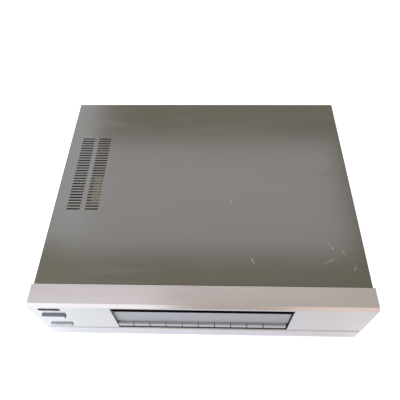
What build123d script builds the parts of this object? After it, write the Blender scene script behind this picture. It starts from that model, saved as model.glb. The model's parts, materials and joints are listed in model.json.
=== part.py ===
from build123d import *
import os

# Full-width stereo receiver: a folded steel casing behind a wide aluminium front, with a row of
# push keys in a recessed window. Millimetres, +Z up, the front faces -Y, +X is right from the front.
# The origin is the centre of the footprint, on the surface that the feet stand on.

# ---------------------------------------------------------------- overall sizes
WIDTH = 435.0            # front fascia, end to end
CASE_WIDTH = 430.5       # folded top cover
CASE_DEPTH = 328.8       # top cover, from the fascia to its rear edge
CASE_TOP = 121.0         # upper face of the top cover
FOOT_HEIGHT = 12.0       # underside of the casing above the ground
SHEET = 1.0              # steel sheet of the cover and the pan
PLATE = 1.2              # thicker steel sheet of the front frame and the rear panel
FIT = 0.3                # clearance round a piece that moves

STRIP_TOP = CASE_TOP + 0.5   # the fascia's level top strip stands just above the cover
BEVEL_DEPTH = 3.9
BEVEL_HEIGHT = 3.7
FACE_BOTTOM = 41.3           # lower edge of the fascia's flat face
FASCIA_DEPTH = 30.2          # from the flat face to the seam with the cover
FASCIA_WALL = 3.0
BUTTON_PROUD = 3.0           # power button in front of the flat face
REAR_REACH = 20.5            # bar antenna behind the rear edge of the cover

TOTAL_DEPTH = BUTTON_PROUD + FASCIA_DEPTH + CASE_DEPTH + REAR_REACH
Y_FACE = BUTTON_PROUD - TOTAL_DEPTH / 2
Y_SEAM = Y_FACE + FASCIA_DEPTH
Y_REAR = Y_SEAM + CASE_DEPTH
PANEL_OUT = Y_REAR - 1.3     # outer face of the rear panel, just inside the cover's edge
PANEL_IN = PANEL_OUT - PLATE
PAN_HALF = CASE_WIDTH / 2 - SHEET - 0.35
FLOOR = FOOT_HEIGHT + SHEET  # inner floor of the pan
PAN_WALL_TOP = 34.0

# ---------------------------------------------------------------- front window and keys
WINDOW_LEFT = -114.4
WINDOW_RIGHT = 116.0
WINDOW_BOTTOM = 43.0
WINDOW_TOP = 114.7
RECESS = 3.4                 # inner panel and display window behind the flat face
LENS_THICK = 1.5
DISPLAY_BOTTOM = 95.2        # edge between the display window and the inner panel
RIM = 0.4                    # wall of the black liner inside the window
LINER_FRONT = 1.4            # front edge of the liner behind the flat face
LEDGE = 3.15                 # ledge of the liner that carries the panel and the window

KEY_COUNT = 9
KEY_PITCH = 21.9
KEY_GAP = 0.9
FIRST_GAP = -92.4            # centre of the gap to the right of the first key
KEY_PROUD = 3.6              # key face in front of the inner panel
KEY_TOP = 58.7
KEY_BOTTOM = 49.6
KEY_HEAD_REAR = 5.0          # rear of a key's head, behind the flat face
KEY_TRAVEL = 1.2
KEY_EDGE = 0.4
ROCKER_RIGHT = 113.2
KEY_ROOM_TOP = KEY_TOP + 0.5
LINER_BACK = 12.5            # rear of the liner's plate that guides the stems
GUIDE_THICK = 1.5
STEM_END = 15.4
SWITCH_FRONT = 16.9
KEY_BOARD_FRONT = 21.0
DISPLAY_BOARD_FRONT = 15.0
BOARD = 1.6                  # thickness of every circuit board

# ---------------------------------------------------------------- small controls at the left
POWER_X = (-207.2, -177.6)
POWER_Z = (82.7, 90.5)
POWER_TRAVEL = 3.5
SLIM_X = (-205.7, -176.5)
SLIM_Z = (51.0, 57.0)
SLIM_PROUD = 2.0

# ---------------------------------------------------------------- ventilation of the cover
VENT_ROWS = 28
VENT_PITCH = 5.0
VENT_LENGTH = 19.6
VENT_SLOT = 2.2
VENT_X = -173.2
VENT_COLUMN_PITCH = 26.1
VENT_CENTRE = 181.5          # middle of the columns, behind the seam

SCREW_R = 1.5
SCREW_HOLE_R = 1.6
SCREW_HEAD_R = 3.2
SCREW_HEAD = 2.0

os.makedirs("parts", exist_ok=True)


def depth(distance):
    """Y of a point this far behind the fascia's flat face."""
    return Y_FACE + distance


def inside(distance):
    """Y of a point this far behind the seam between the fascia and the cover."""
    return Y_SEAM + distance


def block(x_span, y_span, z_span, mode=Mode.ADD):
    """Box between its lowest and highest x, y and z."""
    spans = (x_span, y_span, z_span)
    with Locations(tuple(sum(span) / 2 for span in spans)):
        Box(*[span[1] - span[0] for span in spans], mode=mode)


def rod(axis, centre, length, radius, mode=Mode.ADD):
    """Cylinder along one axis, about its centre point."""
    turn = {"x": (0, 90, 0), "y": (90, 0, 0), "z": (0, 0, 0)}[axis]
    with Locations(Location(centre, turn)):
        Cylinder(radius, length, mode=mode)


def around(centre, size):
    """Lowest and highest value of a span about its centre."""
    return (centre - size / 2, centre + size / 2)


def keep(piece, name):
    """Label a finished piece and write it as its own file."""
    piece.part.label = name
    export_step(piece.part, f"parts/{name}.step")


def make_screw(shaft_length, head_radius=SCREW_HEAD_R, head=SCREW_HEAD, radius=SCREW_R):
    """Pan-head screw with a cross recess, shaft along -Z, the head's seat at the origin."""
    with BuildPart() as screw:
        rod("z", (0, 0, head / 2), head, head_radius)
        fillet(screw.faces().sort_by(Axis.Z)[-1].edges(), head * 0.45)
        rod("z", (0, 0, -shaft_length / 2), shaft_length, radius)
        arm = head_radius * 1.2
        block(around(0, arm), around(0, 0.8), (head * 0.4, head), mode=Mode.SUBTRACT)
        block(around(0, 0.8), around(0, arm), (head * 0.4, head), mode=Mode.SUBTRACT)
    return screw.part


# ================================================================ casing
COVER_BOTTOM = FOOT_HEIGHT + 2.0
LIP = 11.0
COVER_SCREW_Y = (inside(40), inside(290))
COVER_SCREW_Z = 25.0
REAR_LOW_SCREWS = [(x, 24.0) for x in (-195.0, -75.0, 75.0, 195.0)]
REAR_HIGH_SCREWS = [(x, 114.0) for x in (-150.0, 0.0, 150.0)]

with BuildPart() as top_cover:
    with BuildSketch(Plane.XZ.offset(-Y_REAR)) as cover_profile:
        with Locations((0, (CASE_TOP + COVER_BOTTOM) / 2)):
            Rectangle(CASE_WIDTH, CASE_TOP - COVER_BOTTOM)
        fillet(cover_profile.vertices().group_by(Axis.Y)[-1], 1.6)
        with Locations((0, (CASE_TOP + COVER_BOTTOM) / 2 - SHEET)):
            Rectangle(CASE_WIDTH - 2 * SHEET, CASE_TOP - COVER_BOTTOM, mode=Mode.SUBTRACT)
    extrude(amount=CASE_DEPTH)
    lip_x = around(0, CASE_WIDTH - 2 * SHEET - 2.0)
    block(lip_x, (Y_SEAM, Y_SEAM + SHEET), (CASE_TOP - LIP, CASE_TOP - SHEET / 2))
    block(lip_x, (PANEL_IN - SHEET, PANEL_IN), (CASE_TOP - LIP, CASE_TOP - SHEET / 2))
    with BuildSketch(Plane.XY.offset(CASE_TOP)) as vents:
        with Locations((VENT_X, inside(VENT_CENTRE))):
            with GridLocations(VENT_COLUMN_PITCH, VENT_PITCH, 2, VENT_ROWS):
                SlotOverall(VENT_LENGTH, VENT_SLOT)
    extrude(amount=-2 * SHEET, mode=Mode.SUBTRACT)
    for screw_y in COVER_SCREW_Y:
        rod("x", (0, screw_y, COVER_SCREW_Z), CASE_WIDTH + 2, SCREW_HOLE_R, mode=Mode.SUBTRACT)
    for screw_x, screw_z in REAR_HIGH_SCREWS:
        rod("y", (screw_x, PANEL_IN, screw_z), 4, SCREW_HOLE_R, mode=Mode.SUBTRACT)
keep(top_cover, "top_cover")

FOOT_R = 21.0
FOOT_SCREW_R = 2.0
FOOT_SPOTS = [(x, inside(y)) for x in (-168.0, 168.0) for y in (34.0, 284.0)]
STRAP_SCREW_SPOTS = [(x, inside(y)) for x in (-178.8, -128.0) for y in (122.4, 211.6)]
STANDOFF_SPOTS = [(x, inside(y)) for x in (-134.0, 54.0) for y in (40.0, 107.0)]
STANDOFF_SPOTS += [(x, inside(y)) for x in (76.0, 199.0) for y in (176.0, 304.0)]
STANDOFF_HEIGHT = 8.0
BOARD_Z = FLOOR + STANDOFF_HEIGHT
PAN_VENTS = (-178.0, inside(84.0))

with BuildPart() as chassis_pan:
    pan_y = (Y_SEAM, PANEL_IN)
    block(around(0, 2 * PAN_HALF), pan_y, (FOOT_HEIGHT, PAN_WALL_TOP))
    block(
        around(0, 2 * (PAN_HALF - SHEET)),
        (pan_y[0] + SHEET, pan_y[1] - SHEET),
        (FLOOR, PAN_WALL_TOP + 1),
        mode=Mode.SUBTRACT,
    )
    with BuildSketch(Plane.XY.offset(FLOOR)) as pan_holes:
        with Locations(PAN_VENTS):
            with GridLocations(0, 7.0, 1, 5):
                SlotOverall(36.0, 3.0)
        with Locations(FOOT_SPOTS):
            Circle(FOOT_SCREW_R + 0.1)
        with Locations(STRAP_SCREW_SPOTS):
            Circle(SCREW_HOLE_R)
    extrude(amount=-2 * SHEET, mode=Mode.SUBTRACT)
    for spot_x, spot_y in STANDOFF_SPOTS:
        standoff_at = (spot_x, spot_y, FLOOR + STANDOFF_HEIGHT / 2)
        rod("z", standoff_at, STANDOFF_HEIGHT, 3.2)
        rod("z", standoff_at, STANDOFF_HEIGHT, SCREW_HOLE_R, mode=Mode.SUBTRACT)
    for screw_y in COVER_SCREW_Y:
        rod("x", (0, screw_y, COVER_SCREW_Z), CASE_WIDTH, SCREW_HOLE_R, mode=Mode.SUBTRACT)
    for screw_x, screw_z in REAR_LOW_SCREWS:
        rod("y", (screw_x, PANEL_IN, screw_z), 4, SCREW_HOLE_R, mode=Mode.SUBTRACT)
keep(chassis_pan, "chassis_pan")

with BuildPart() as feet:
    for foot_x, foot_y in FOOT_SPOTS:
        with Locations((foot_x, foot_y, FOOT_HEIGHT / 2)):
            Cone(FOOT_R - 2.0, FOOT_R, FOOT_HEIGHT)
        rod("z", (foot_x, foot_y, FOOT_HEIGHT / 2), FOOT_HEIGHT, FOOT_SCREW_R + 0.1, mode=Mode.SUBTRACT)
        rod("z", (foot_x, foot_y, 3.5), 7.0, 6.0, mode=Mode.SUBTRACT)
keep(feet, "feet")

with BuildPart() as foot_screws:
    foot_screw = make_screw(9.0, 4.6, 2.6, FOOT_SCREW_R)
    for foot_x, foot_y in FOOT_SPOTS:
        with Locations(Location((foot_x, foot_y, 7.0), (180, 0, 0))):
            add(foot_screw)
keep(foot_screws, "foot_screws")

with BuildPart() as casing_screws:
    casing_screw = make_screw(6.0)
    for screw_y in COVER_SCREW_Y:
        with Locations(
            Location((CASE_WIDTH / 2, screw_y, COVER_SCREW_Z), (0, 90, 0)),
            Location((-CASE_WIDTH / 2, screw_y, COVER_SCREW_Z), (0, -90, 0)),
        ):
            add(casing_screw)
    for screw_x, screw_z in REAR_LOW_SCREWS + REAR_HIGH_SCREWS:
        with Locations(Location((screw_x, PANEL_OUT, screw_z), (-90, 0, 0))):
            add(casing_screw)
keep(casing_screws, "casing_screws")

# ================================================================ fascia
with BuildPart() as front_fascia:
    with BuildSketch(Plane.YZ.offset(-WIDTH / 2)) as fascia_profile:
        with BuildLine():
            inner = FASCIA_WALL * 0.4142
            Polyline(
                (Y_SEAM - 0.3, STRIP_TOP - 0.5),
                (Y_SEAM - 0.8, STRIP_TOP),
                (depth(BEVEL_DEPTH), STRIP_TOP),
                (Y_FACE, STRIP_TOP - BEVEL_HEIGHT),
                (Y_FACE, FACE_BOTTOM + 0.5),
                (depth(0.5), FACE_BOTTOM),
                (depth(FASCIA_WALL), FACE_BOTTOM),
                (depth(FASCIA_WALL), STRIP_TOP - BEVEL_HEIGHT - inner),
                (depth(BEVEL_DEPTH + inner), STRIP_TOP - FASCIA_WALL),
                (Y_SEAM - 0.3, STRIP_TOP - FASCIA_WALL),
                close=True,
            )
        make_face()
    extrude(amount=WIDTH)
    cut_y = (Y_FACE - 1, depth(FASCIA_WALL + 1))
    block((WINDOW_LEFT, WINDOW_RIGHT), cut_y, (WINDOW_BOTTOM, WINDOW_TOP), mode=Mode.SUBTRACT)
    for x_span, z_span in ((POWER_X, POWER_Z), (SLIM_X, SLIM_Z)):
        block(
            (x_span[0] - FIT, x_span[1] + FIT),
            cut_y,
            (z_span[0] - FIT, z_span[1] + FIT),
            mode=Mode.SUBTRACT,
        )
keep(front_fascia, "front_fascia")

TRIM_INSET = 1.5
TRIM_TOP = FACE_BOTTOM - 0.5
TRIM_PROUD = 0.8
TRIM_BOTTOM = FOOT_HEIGHT + 3.2
with BuildPart() as lower_trim:
    with BuildSketch(Plane.YZ.offset(TRIM_INSET - WIDTH / 2)) as trim_profile:
        with BuildLine():
            Polyline(
                (depth(FASCIA_WALL), TRIM_TOP),
                (depth(0.4), TRIM_TOP),
                (depth(-TRIM_PROUD), TRIM_TOP - 0.9),
                (depth(-TRIM_PROUD), TRIM_BOTTOM + 0.6),
                (depth(0.6 - TRIM_PROUD), TRIM_BOTTOM),
                (Y_SEAM - PLATE, TRIM_BOTTOM),
                (Y_SEAM - PLATE, TRIM_BOTTOM + 2.0),
                (depth(FASCIA_WALL), TRIM_BOTTOM + 2.0),
                close=True,
            )
        make_face()
    extrude(amount=WIDTH - 2 * TRIM_INSET)
keep(lower_trim, "lower_trim")

CAP_OUT = WIDTH / 2 - 0.4
CAP_IN = CAP_OUT - 2.4
CAP_TAB_IN = 203.0
FRAME_FRONT = Y_SEAM - PLATE
with BuildPart() as end_caps:
    for side in (-1, 1):
        plate_x = sorted((side * CAP_IN, side * CAP_OUT))
        tab_x = sorted((side * CAP_TAB_IN, side * CAP_OUT))
        cap_z = (TRIM_BOTTOM + 2.2, STRIP_TOP - BEVEL_HEIGHT - FASCIA_WALL)
        block(plate_x, (depth(FASCIA_WALL), FRAME_FRONT), cap_z)
        block(tab_x, (FRAME_FRONT - 2.0, FRAME_FRONT), cap_z)
keep(end_caps, "end_caps")

POWER_MID = (sum(POWER_X) / 2, sum(POWER_Z) / 2)
with BuildPart() as front_frame:
    block(around(0, 2 * PAN_HALF), (FRAME_FRONT, Y_SEAM), (FLOOR, STRIP_TOP - FASCIA_WALL - 0.6))
    block((-60, 70), (FRAME_FRONT - 1, Y_SEAM + 1), (52, 96), mode=Mode.SUBTRACT)
    rod("y", (POWER_MID[0], Y_SEAM, POWER_MID[1]), 6, 4.0, mode=Mode.SUBTRACT)
keep(front_frame, "front_frame")

# ================================================================ window assembly
key_spans = []
for index in range(KEY_COUNT):
    right = FIRST_GAP + index * KEY_PITCH
    left = max(right - KEY_PITCH, WINDOW_LEFT + RIM + KEY_GAP / 2)
    key_spans.append((left + KEY_GAP / 2, right - KEY_GAP / 2))
rocker_span = (key_spans[-1][1] + KEY_GAP + 0.2, ROCKER_RIGHT)
ROCKER_X = sum(rocker_span) / 2
ROCKER_POST = 10.0
ROCKER_PIN_DEPTH = 6.5
ROCKER_STUB_R = 1.0
ROCKER_STUB_Z = (WINDOW_BOTTOM - 0.6, KEY_TOP + 1.9)
key_centres = [sum(span) / 2 for span in key_spans]
post_centres = [ROCKER_X - ROCKER_POST, ROCKER_X + ROCKER_POST]
KEY_Z = (KEY_TOP + KEY_BOTTOM) / 2
STEM_X = 6.0
STEM_Z = 4.0

LEDGE_FRONT = RECESS + LENS_THICK
FLANGE_REAR = 7.0
POST_R = 2.6
POST_X = (WINDOW_LEFT - 0.5, WINDOW_RIGHT + 0.4)
DISPLAY_POST_Z = 103.0
KEY_POST_Z = 70.0
room_x = (WINDOW_LEFT + RIM + 0.15, WINDOW_RIGHT - RIM - 0.15)
room_z = (WINDOW_BOTTOM + RIM + 0.15, KEY_ROOM_TOP)

with BuildPart() as window_liner:
    block(
        (WINDOW_LEFT + 0.15, WINDOW_RIGHT - 0.15),
        (depth(LINER_FRONT), depth(FASCIA_WALL)),
        (WINDOW_BOTTOM + 0.15, WINDOW_TOP - 0.15),
    )
    block(
        (WINDOW_LEFT - 5.0, WINDOW_RIGHT + 5.0),
        (depth(FASCIA_WALL), depth(FLANGE_REAR)),
        (WINDOW_BOTTOM - 5.0, WINDOW_TOP + 1.6),
    )
    block(
        (WINDOW_LEFT - 2.5, WINDOW_RIGHT + 2.5),
        (depth(FLANGE_REAR), depth(LINER_BACK)),
        (WINDOW_BOTTOM - 3.0, KEY_ROOM_TOP + 2.3),
    )
    block(
        room_x,
        (Y_FACE, depth(LEDGE_FRONT)),
        (room_z[0], WINDOW_TOP - RIM - 0.15),
        mode=Mode.SUBTRACT,
    )
    block(
        (room_x[0] + LEDGE, room_x[1] - LEDGE),
        (Y_FACE, depth(FLANGE_REAR)),
        (KEY_ROOM_TOP + 2.3, WINDOW_TOP - RIM - LEDGE),
        mode=Mode.SUBTRACT,
    )
    block(room_x, (Y_FACE, depth(LINER_BACK - GUIDE_THICK)), room_z, mode=Mode.SUBTRACT)
    guide_y = (depth(LINER_BACK - GUIDE_THICK - 0.5), depth(LINER_BACK + 1))
    for centre in key_centres:
        block(
            around(centre, STEM_X + 2 * FIT),
            guide_y,
            around(KEY_Z, STEM_Z + 2 * FIT),
            mode=Mode.SUBTRACT,
        )
    for centre in post_centres:
        block(around(centre, 5.4), guide_y, around(KEY_Z, 5.0), mode=Mode.SUBTRACT)
    stub_z = (ROCKER_STUB_Z[0] - FIT, ROCKER_STUB_Z[1] + FIT)
    stub_at = (ROCKER_X, depth(ROCKER_PIN_DEPTH), sum(stub_z) / 2)
    rod("z", stub_at, stub_z[1] - stub_z[0], ROCKER_STUB_R + 0.06, mode=Mode.SUBTRACT)
    for post_x in POST_X:
        for post_z, post_end in (
            (DISPLAY_POST_Z, DISPLAY_BOARD_FRONT),
            (KEY_POST_Z, KEY_BOARD_FRONT),
        ):
            post_length = post_end - FLANGE_REAR
            rod("y", (post_x, depth(FLANGE_REAR + post_length / 2), post_z), post_length, POST_R)
keep(window_liner, "window_liner")

panel_x = (room_x[0] + 0.15, room_x[1] - 0.15)
with BuildPart() as inner_panel:
    block(panel_x, (depth(RECESS), depth(LEDGE_FRONT)), (KEY_ROOM_TOP + 0.1, DISPLAY_BOTTOM))
    fillet(inner_panel.faces().sort_by(Axis.Y)[0].edges().filter_by(Axis.X), 0.25)
keep(inner_panel, "inner_panel")

with BuildPart() as display_window:
    lens_z = (DISPLAY_BOTTOM + 0.1, WINDOW_TOP - RIM - 0.3)
    block(panel_x, (depth(RECESS), depth(LEDGE_FRONT)), lens_z)
keep(display_window, "display_window")

TUBE_Z = (97.0, 110.0)
with BuildPart() as display_tube:
    block((-64, 72), (depth(8.0), depth(13.6)), TUBE_Z)
    fillet(display_tube.edges().filter_by(Axis.Y), 1.0)
    rod("x", (75.0, depth(10.8), 103.5), 8.0, 1.5)
keep(display_tube, "display_tube")

board_x = (WINDOW_LEFT - 3.8, WINDOW_RIGHT + 3.8)
with BuildPart() as display_board:
    display_board_y = (depth(DISPLAY_BOARD_FRONT), depth(DISPLAY_BOARD_FRONT + BOARD))
    block(board_x, display_board_y, (92.0, 115.0))
    block((-52, 60), (depth(13.6), depth(DISPLAY_BOARD_FRONT)), (99.0, 100.5))
    block((-48, -24), (display_board_y[1], display_board_y[1] + 4.0), (98.0, 108.0))
keep(display_board, "display_board")

with BuildPart() as key_board:
    key_board_y = (depth(KEY_BOARD_FRONT), depth(KEY_BOARD_FRONT + BOARD))
    block(board_x, key_board_y, (42.0, 78.0))
    block((20, 60), (key_board_y[1], key_board_y[1] + 3.4), (58.0, 72.0))
keep(key_board, "key_board")

with BuildPart() as key_switches:
    for centre in key_centres + post_centres:
        block(
            around(centre, 6.0),
            (depth(SWITCH_FRONT + 0.8), depth(KEY_BOARD_FRONT)),
            around(KEY_Z, 6.0),
        )
        rod("y", (centre, depth(SWITCH_FRONT + 0.4), KEY_Z), 0.8, 1.7)
keep(key_switches, "key_switches")


def make_key(span, name):
    """Push key: a bar-shaped head, a stem through the guide plate and a stop collar behind it."""
    centre = sum(span) / 2
    with BuildPart() as key:
        block(span, (depth(RECESS - KEY_PROUD), depth(KEY_HEAD_REAR)), (KEY_BOTTOM, KEY_TOP))
        fillet(key.faces().sort_by(Axis.Y)[0].edges(), KEY_EDGE)
        block(
            around(centre, STEM_X),
            (depth(KEY_HEAD_REAR), depth(STEM_END)),
            around(KEY_Z, STEM_Z),
        )
        block(
            around(centre, STEM_X + 2.6),
            (depth(LINER_BACK + FIT), depth(LINER_BACK + FIT + 1.0)),
            around(KEY_Z, STEM_Z + 2.4),
        )
    keep(key, name)


for number, span in enumerate(key_spans, start=1):
    make_key(span, f"key_{number}")

with BuildPart() as rocker_key:
    rocker_y = (depth(RECESS - KEY_PROUD), depth(KEY_HEAD_REAR))
    block(rocker_span, rocker_y, (KEY_BOTTOM, KEY_TOP))
    fillet(rocker_key.faces().sort_by(Axis.Y)[0].edges(), KEY_EDGE)
    rod("z", (ROCKER_X, depth(ROCKER_PIN_DEPTH), KEY_Z), KEY_TOP - KEY_BOTTOM, 2.4)
    for centre in post_centres:
        block(around(centre, 3.0), (depth(KEY_HEAD_REAR), depth(STEM_END)), around(KEY_Z, 3.6))
    stub_at = (ROCKER_X, depth(ROCKER_PIN_DEPTH), sum(ROCKER_STUB_Z) / 2)
    rod("z", stub_at, ROCKER_STUB_Z[1] - ROCKER_STUB_Z[0], ROCKER_STUB_R)
keep(rocker_key, "rocker_key")

# ================================================================ power and speaker buttons
FACE_PLATE = 0.5
BUTTON_FLANGE = (3.3, 5.0)
POWER_ROD_R = 2.5
with BuildPart() as power_button:
    block(POWER_X, (depth(FACE_PLATE - BUTTON_PROUD), depth(BUTTON_FLANGE[0])), POWER_Z)
    block(
        (POWER_X[0] - 2, POWER_X[1] + 2),
        (depth(BUTTON_FLANGE[0]), depth(BUTTON_FLANGE[1])),
        (POWER_Z[0] - 2, POWER_Z[1] + 2),
    )
keep(power_button, "power_button")

with BuildPart() as power_face:
    block(POWER_X, (depth(-BUTTON_PROUD), depth(FACE_PLATE - BUTTON_PROUD)), POWER_Z)
    fillet(power_face.faces().sort_by(Axis.Y)[0].edges(), 0.25)
keep(power_face, "power_face")

with BuildPart() as power_rod:
    rod_y = (depth(BUTTON_FLANGE[1]), Y_SEAM - POWER_TRAVEL - 0.5)
    rod("y", (POWER_MID[0], sum(rod_y) / 2, POWER_MID[1]), rod_y[1] - rod_y[0], POWER_ROD_R)
keep(power_rod, "power_rod")

with BuildPart() as power_switch:
    switch_y = (Y_SEAM, Y_SEAM + 26.0)
    block(around(POWER_MID[0], 22.0), switch_y, around(POWER_MID[1], 18.0))
    fillet(power_switch.edges().filter_by(Axis.Y), 1.2)
    for lug_x in (-6.0, 6.0):
        for lug_z in (-4.0, 4.0):
            block(
                around(POWER_MID[0] + lug_x, 0.8),
                (switch_y[1], switch_y[1] + 5.0),
                around(POWER_MID[1] + lug_z, 4.0),
            )
keep(power_switch, "power_switch")

SLIM_MID = (sum(SLIM_X) / 2, sum(SLIM_Z) / 2)
with BuildPart() as slim_button:
    block(SLIM_X, (depth(-SLIM_PROUD), depth(BUTTON_FLANGE[0])), SLIM_Z)
    fillet(slim_button.faces().sort_by(Axis.Y)[0].edges(), 0.4)
    block(
        (SLIM_X[0] - 2, SLIM_X[1] + 2),
        (depth(BUTTON_FLANGE[0]), depth(BUTTON_FLANGE[1])),
        (SLIM_Z[0] - 2, SLIM_Z[1] + 2),
    )
    block(around(SLIM_MID[0], 5.0), (depth(BUTTON_FLANGE[1]), depth(12.0)), around(SLIM_MID[1], 4.0))
keep(slim_button, "slim_button")

with BuildPart() as speaker_switch:
    block(around(SLIM_MID[0], 13.0), (depth(14.4), FRAME_FRONT), around(SLIM_MID[1], 12.0))
    fillet(speaker_switch.edges().filter_by(Axis.Y), 0.8)
keep(speaker_switch, "speaker_switch")

# ================================================================ power transformer
CORE_WIDTH = 76.2            # across the three limbs, along Y
CORE_LENGTH = CORE_WIDTH * 5 / 6
CORE_STACK = 56.0            # laminations lie flat, stacked along Z
COIL_OUT = 12.5              # coil above and below the stack
CORE_X = (-185.1, CORE_LENGTH - 185.1)
CORE_Y = around(inside(167.0), CORE_WIDTH)
CORE_Z = (FLOOR + COIL_OUT + 2.0, FLOOR + COIL_OUT + 2.0 + CORE_STACK)
LEG = CORE_WIDTH / 6
coil_x = (CORE_X[0] + LEG, CORE_X[1] - LEG)
leg_y = around(sum(CORE_Y) / 2, 2 * LEG)
coil_y = around(sum(CORE_Y) / 2, 4 * LEG)
with BuildPart() as transformer_core:
    block(CORE_X, CORE_Y, CORE_Z)
    block(coil_x, coil_y, (CORE_Z[0] - 1, CORE_Z[1] + 1), mode=Mode.SUBTRACT)
    block(coil_x, leg_y, CORE_Z)
keep(transformer_core, "transformer_core")

with BuildPart() as transformer_coil:
    block(coil_x, coil_y, (CORE_Z[0] - COIL_OUT, CORE_Z[1] + COIL_OUT))
    fillet(transformer_coil.edges().filter_by(Axis.X), 6.0)
    block(coil_x, leg_y, CORE_Z, mode=Mode.SUBTRACT)
    for edge_y in coil_y:
        block(coil_x, around(edge_y, 0.6), CORE_Z, mode=Mode.SUBTRACT)
keep(transformer_coil, "transformer_coil")

STRAP_WIDTH = LEG - 2.0
STRAP_TAB = 13.0
with BuildPart() as transformer_strap:
    for yoke_x in (CORE_X[0] + LEG / 2, CORE_X[1] - LEG / 2):
        strap_x = around(yoke_x, STRAP_WIDTH)
        over_y = (CORE_Y[0] - PLATE, CORE_Y[1] + PLATE)
        block(strap_x, over_y, (CORE_Z[1], CORE_Z[1] + PLATE))
        block(strap_x, over_y, (CORE_Z[0] - PLATE, CORE_Z[0]))
        for side, edge_y in ((-1, CORE_Y[0]), (1, CORE_Y[1])):
            wall_y = sorted((edge_y, edge_y + side * PLATE))
            tab_y = sorted((edge_y, edge_y + side * STRAP_TAB))
            block(strap_x, wall_y, (FLOOR, CORE_Z[1]))
            block(strap_x, tab_y, (FLOOR, FLOOR + PLATE))
    for hole_x, hole_y in STRAP_SCREW_SPOTS:
        rod("z", (hole_x, hole_y, FLOOR), 6, SCREW_HOLE_R, mode=Mode.SUBTRACT)
keep(transformer_strap, "transformer_strap")

# ================================================================ amplifier
SINK_Y = (inside(40.0), inside(98.0))
SINK_BACK_X = -149.0
SINK_PLATE = 6.0
SINK_FIN_LENGTH = 46.0
SINK_TOP = 84.0
FIN_COUNT = 10
FIN = 2.0
with BuildPart() as heat_sink:
    block((SINK_BACK_X - SINK_PLATE, SINK_BACK_X), SINK_Y, (FLOOR, SINK_TOP))
    fin_pitch = (SINK_Y[1] - SINK_Y[0] - FIN) / (FIN_COUNT - 1)
    fin_x = (SINK_BACK_X - SINK_PLATE - SINK_FIN_LENGTH, SINK_BACK_X - SINK_PLATE)
    for index in range(FIN_COUNT):
        fin_y = SINK_Y[0] + index * fin_pitch
        block(fin_x, (fin_y, fin_y + FIN), (FLOOR, SINK_TOP))
keep(heat_sink, "heat_sink")

with BuildPart() as power_transistors:
    for index in range(4):
        body_y = around(SINK_Y[0] + 9.0 + index * 13.4, 10.4)
        block((SINK_BACK_X, SINK_BACK_X + 4.6), body_y, (42.0, 58.0))
        for pin in (-2.5, 0.0, 2.5):
            pin_y = around(sum(body_y) / 2 + pin, 0.8)
            block((SINK_BACK_X + 1.8, SINK_BACK_X + 2.6), pin_y, (BOARD_Z + 6.0, 42.0))
keep(power_transistors, "power_transistors")

AMP_X = (-140.0, 60.0)
AMP_Y = (inside(34.0), inside(113.0))
with BuildPart() as amplifier_board:
    block(AMP_X, AMP_Y, (BOARD_Z, BOARD_Z + BOARD))
    with Locations([(x, y, BOARD_Z + BOARD / 2) for x, y in STANDOFF_SPOTS[:4]]):
        Cylinder(SCREW_HOLE_R, BOARD * 2, mode=Mode.SUBTRACT)
keep(amplifier_board, "amplifier_board")

TUNER_X = (70.0, 205.0)
TUNER_Y = (inside(170.0), inside(310.0))
with BuildPart() as tuner_board:
    block(TUNER_X, TUNER_Y, (BOARD_Z, BOARD_Z + BOARD))
    with Locations([(x, y, BOARD_Z + BOARD / 2) for x, y in STANDOFF_SPOTS[4:]]):
        Cylinder(SCREW_HOLE_R, BOARD * 2, mode=Mode.SUBTRACT)
keep(tuner_board, "tuner_board")

PARTS_Z = BOARD_Z + BOARD
with BuildPart() as inner_screws:
    inner_screw = make_screw(5.0)
    screw_spots = [(x, y, FLOOR + PLATE) for x, y in STRAP_SCREW_SPOTS]
    screw_spots += [(x, y, PARTS_Z) for x, y in STANDOFF_SPOTS]
    with Locations(screw_spots):
        add(inner_screw)
keep(inner_screws, "inner_screws")

with BuildPart() as filter_capacitors:
    for can_x in (12.0, 42.0):
        rod("z", (can_x, inside(92.0), PARTS_Z + 23.0), 46.0, 12.5)
    fillet(filter_capacitors.faces().group_by(Axis.Z)[-1].edges(), 1.5)
keep(filter_capacitors, "filter_capacitors")

with BuildPart() as small_capacitors:
    for row in range(3):
        for column in range(5):
            can_height = 9.0 + 2.0 * ((row + column) % 3)
            can_spot = (-112.0 + column * 23.0, inside(50.0 + row * 20.0), PARTS_Z + can_height / 2)
            rod("z", can_spot, can_height, 3.0 + (column % 2))
keep(small_capacitors, "small_capacitors")

with BuildPart() as tuner_can:
    can_x = (138.0, 192.0)
    can_y = (inside(255.0), inside(298.0))
    block(can_x, can_y, (PARTS_Z, PARTS_Z + 30.0))
    fillet(tuner_can.edges().filter_by(Axis.Z), 1.5)
    block(
        (can_x[0] + 0.8, can_x[1] - 0.8),
        (can_y[0] + 0.8, can_y[1] - 0.8),
        (PARTS_Z, PARTS_Z + 29.2),
        mode=Mode.SUBTRACT,
    )
    with BuildSketch(Plane.XY.offset(PARTS_Z + 30.0)) as trimmer_holes:
        with Locations((sum(can_x) / 2, sum(can_y) / 2)):
            with GridLocations(14.0, 16.0, 3, 2):
                Circle(2.0)
    extrude(amount=-2, mode=Mode.SUBTRACT)
keep(tuner_can, "tuner_can")

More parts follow.
